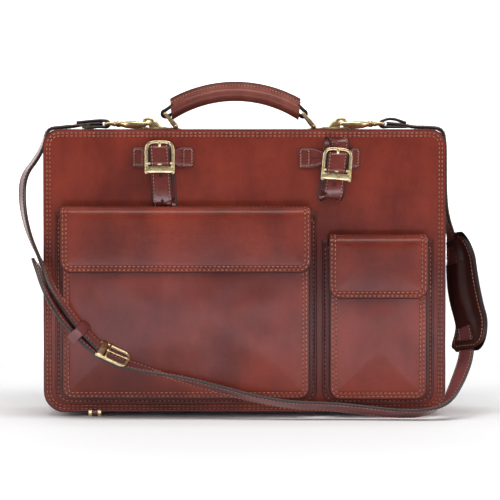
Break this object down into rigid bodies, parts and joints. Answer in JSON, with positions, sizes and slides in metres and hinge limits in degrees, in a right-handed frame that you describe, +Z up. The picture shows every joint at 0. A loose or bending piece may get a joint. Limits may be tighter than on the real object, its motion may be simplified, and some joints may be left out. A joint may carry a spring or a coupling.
{
  "type": "leather briefcase",
  "caption": "Upright leather briefcase with two zipped compartments, two flap pockets, a swinging handle on links, umbrella loops and a shoulder strap.",
  "frame": {"origin": "on the floor under the middle of the bag, taken without its shoulder strap", "axes": "+X to the right as the front is faced and along the longest side, +Y to the back, +Z up"},
  "size_m": [0.4927, 0.1753, 0.3502],
  "materials": {
    "body_leather": "polished vegetable-tanned leather, red brown",
    "pocket_leather": "polished vegetable-tanned leather, red brown",
    "trim_leather": "polished leather, darker red brown",
    "strap_leather": "polished leather, dark red brown",
    "brass": "antique brass, satin",
    "zip_teeth": "small brass teeth on dark cloth tape",
    "magnet_steel": "plated magnetic snap",
    "lining_cloth": "dark brown lining cloth",
    "board": "cloth-covered stiff board",
    "rope_core": "twisted cotton cord"
  },
  "bodies": {
    "case": {"back_corner_strips": "body_leather", "back_panel": "body_leather", "back_zip_row_fixed": "zip_teeth", "base_boards": "board", "bracket_rivets": "brass", "divider": "lining_cloth", "feet_bands": "brass", "feet_leathers": "trim_leather", "front_corner_strips": "body_leather", "front_panel": "body_leather", "front_zip_row_fixed": "zip_teeth", "gusset": "body_leather", "large_flap_root": "pocket_leather", "large_pocket_front": "pocket_leather", "large_pocket_gusset": "pocket_leather", "large_pocket_magnets": "magnet_steel", "left_bracket": "brass", "left_loop_tab": "trim_leather", "left_snap_hook": "brass", "linings": "lining_cloth", "right_bracket": "brass", "right_loop_tab": "trim_leather", "right_snap_hook": "brass", "shoulder_pad": "strap_leather", "small_flap_root": "pocket_leather", "small_pocket_front": "pocket_leather", "small_pocket_gusset": "pocket_leather", "small_pocket_magnets": "magnet_steel", "spine": "body_leather", "strap_buckle": "brass", "strap_buckle_half": "strap_leather", "strap_keeper": "strap_leather", "strap_long_half": "strap_leather", "strap_rings": "brass", "zip_end_tabs": "body_leather"},
    "front_mouth": {"front_mouth_strip": "body_leather", "front_zip_row_moving": "zip_teeth"},
    "back_mouth": {"back_mouth_strip": "body_leather", "back_zip_row_moving": "zip_teeth"},
    "front_slider": {"front_zip_slider": "brass"},
    "front_pull": {"front_zip_pull": "brass"},
    "back_slider": {"back_zip_slider": "brass"},
    "back_pull": {"back_zip_pull": "brass"},
    "large_flap": {"large_flap": "pocket_leather", "large_flap_magnets": "magnet_steel"},
    "small_flap": {"small_flap": "pocket_leather", "small_flap_magnets": "magnet_steel"},
    "left_loop": {"left_loop_strap": "trim_leather", "left_loop_buckle": "brass"},
    "left_loop_prong": {"left_loop_prong": "brass"},
    "right_loop": {"right_loop_strap": "trim_leather", "right_loop_buckle": "brass"},
    "right_loop_prong": {"right_loop_prong": "brass"},
    "left_link": {"left_link": "brass"},
    "right_link": {"right_link": "brass"},
    "handle": {"handle": "trim_leather", "handle_core": "rope_core"},
    "left_gate": {"left_snap_gate": "brass"},
    "right_gate": {"right_snap_gate": "brass"},
    "strap_prong": {"strap_buckle_prong": "brass"}
  },
  "joints": [
    {"name": "front_mouth_opens", "type": "hinge", "parent": "case", "child": "front_mouth", "pos_m": [0, -0.036, 0.3], "axis": [1, 0, 0], "range_deg": [0, 90]},
    {"name": "back_mouth_opens", "type": "hinge", "parent": "case", "child": "back_mouth", "pos_m": [0, 0.068, 0.3], "axis": [-1, 0, 0], "range_deg": [0, 90]},
    {"name": "front_slider_runs", "type": "slide", "parent": "case", "child": "front_slider", "axis": [1, 0, 0], "range_m": [0, 0.33]},
    {"name": "back_slider_runs", "type": "slide", "parent": "case", "child": "back_slider", "axis": [1, 0, 0], "range_m": [0, 0.33]},
    {"name": "front_pull_turns", "type": "hinge", "parent": "front_slider", "child": "front_pull", "pos_m": [-0.165, -0.007, 0.3038], "axis": [0, 1, 0], "range_deg": [0, 165]},
    {"name": "back_pull_turns", "type": "hinge", "parent": "back_slider", "child": "back_pull", "pos_m": [-0.165, 0.039, 0.3038], "axis": [0, 1, 0], "range_deg": [0, 165]},
    {"name": "large_flap_lifts", "type": "hinge", "parent": "case", "child": "large_flap", "pos_m": [-0.06085, -0.054, 0.2196], "axis": [-1, 0, 0], "range_deg": [0, 100]},
    {"name": "small_flap_lifts", "type": "hinge", "parent": "case", "child": "small_flap", "pos_m": [0.1386, -0.054, 0.1903], "axis": [-1, 0, 0], "range_deg": [0, 120]},
    {"name": "left_loop_slides", "type": "slide", "parent": "case", "child": "left_loop", "axis": [1, 0, 0], "range_m": [-0.006, 0.006]},
    {"name": "right_loop_slides", "type": "slide", "parent": "case", "child": "right_loop", "axis": [1, 0, 0], "range_m": [-0.006, 0.006]},
    {"name": "left_prong_lifts", "type": "hinge", "parent": "left_loop", "child": "left_loop_prong", "pos_m": [-0.0881, -0.0493, 0.2642], "axis": [1, 0, 0], "range_deg": [0, 80]},
    {"name": "right_prong_lifts", "type": "hinge", "parent": "right_loop", "child": "right_loop_prong", "pos_m": [0.0956, -0.0493, 0.25692], "axis": [0.9969, 0, -0.0785], "range_deg": [0, 80]},
    {"name": "left_link_swings", "type": "hinge", "parent": "case", "child": "left_link", "pos_m": [-0.073, 0.016, 0.303], "axis": [0, 1, 0], "range_deg": [-15, 100]},
    {"name": "handle_swings", "type": "hinge", "parent": "left_link", "child": "handle", "pos_m": [-0.08406, 0.016, 0.31618], "axis": [0, 1, 0], "range_deg": [-100, 15]},
    {"name": "right_link_swings", "type": "hinge", "parent": "case", "child": "right_link", "pos_m": [0.073, 0.016, 0.303], "axis": [0, 1, 0], "range_deg": [-15, 100]},
    {"name": "left_gate_opens", "type": "hinge", "parent": "case", "child": "left_gate", "pos_m": [-0.1213, 0.023, 0.3055], "axis": [0, 0, -1], "range_deg": [0, 10], "stiffness_Nm_per_rad": 0.02},
    {"name": "right_gate_opens", "type": "hinge", "parent": "case", "child": "right_gate", "pos_m": [0.1213, 0.023, 0.3055], "axis": [0, 0, 1], "range_deg": [0, 10], "stiffness_Nm_per_rad": 0.02},
    {"name": "strap_prong_lifts", "type": "hinge", "parent": "case", "child": "strap_prong", "pos_m": [-0.13989, -0.0831, 0.07235], "axis": [-0.1786, -0.9063, -0.383], "range_deg": [0, 80]}
  ],
  "couplings": [
    {"joint": "handle_swings", "follows": "left_link_swings", "ratio": -1},
    {"joint": "right_link_swings", "follows": "left_link_swings", "ratio": 1}
  ]
}
